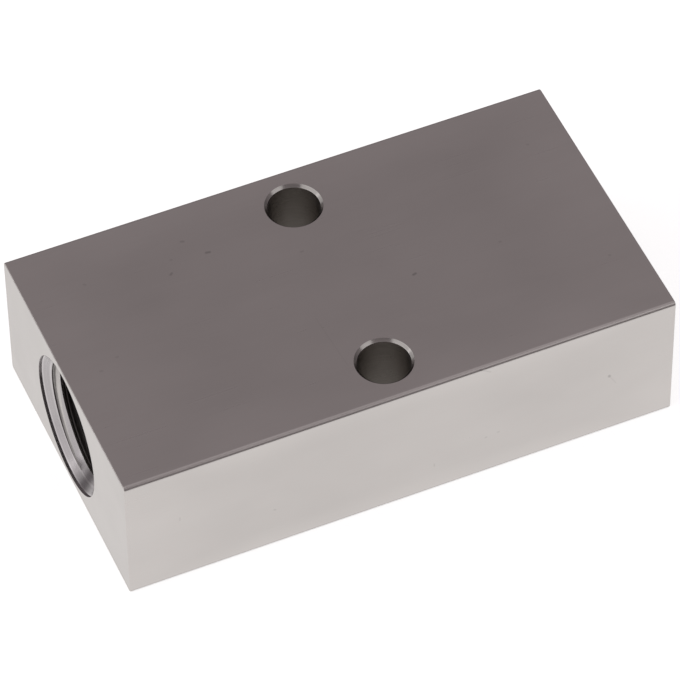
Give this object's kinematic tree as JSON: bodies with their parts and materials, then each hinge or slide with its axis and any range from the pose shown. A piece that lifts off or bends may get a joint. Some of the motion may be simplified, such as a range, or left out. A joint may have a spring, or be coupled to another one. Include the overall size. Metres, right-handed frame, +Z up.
{
  "type": "threaded aluminium port block",
  "caption": "Rectangular aluminium block with a pipe-threaded port in each end, a drilled passage between them and plain through-holes for mounting screws",
  "frame": {"origin": "centre of the bottom face, which the block rests on", "axes": "X along the ports' axis and the block's length, Y across its width, Z up through the mounting holes"},
  "size_m": [0.0914, 0.05, 0.025],
  "materials": {
    "aluminium": "satin, with fine drawing lines along the bar, milled ends and turned ports"
  },
  "bodies": {
    "root": {"port_block": "aluminium"}
  },
  "joints": []
}
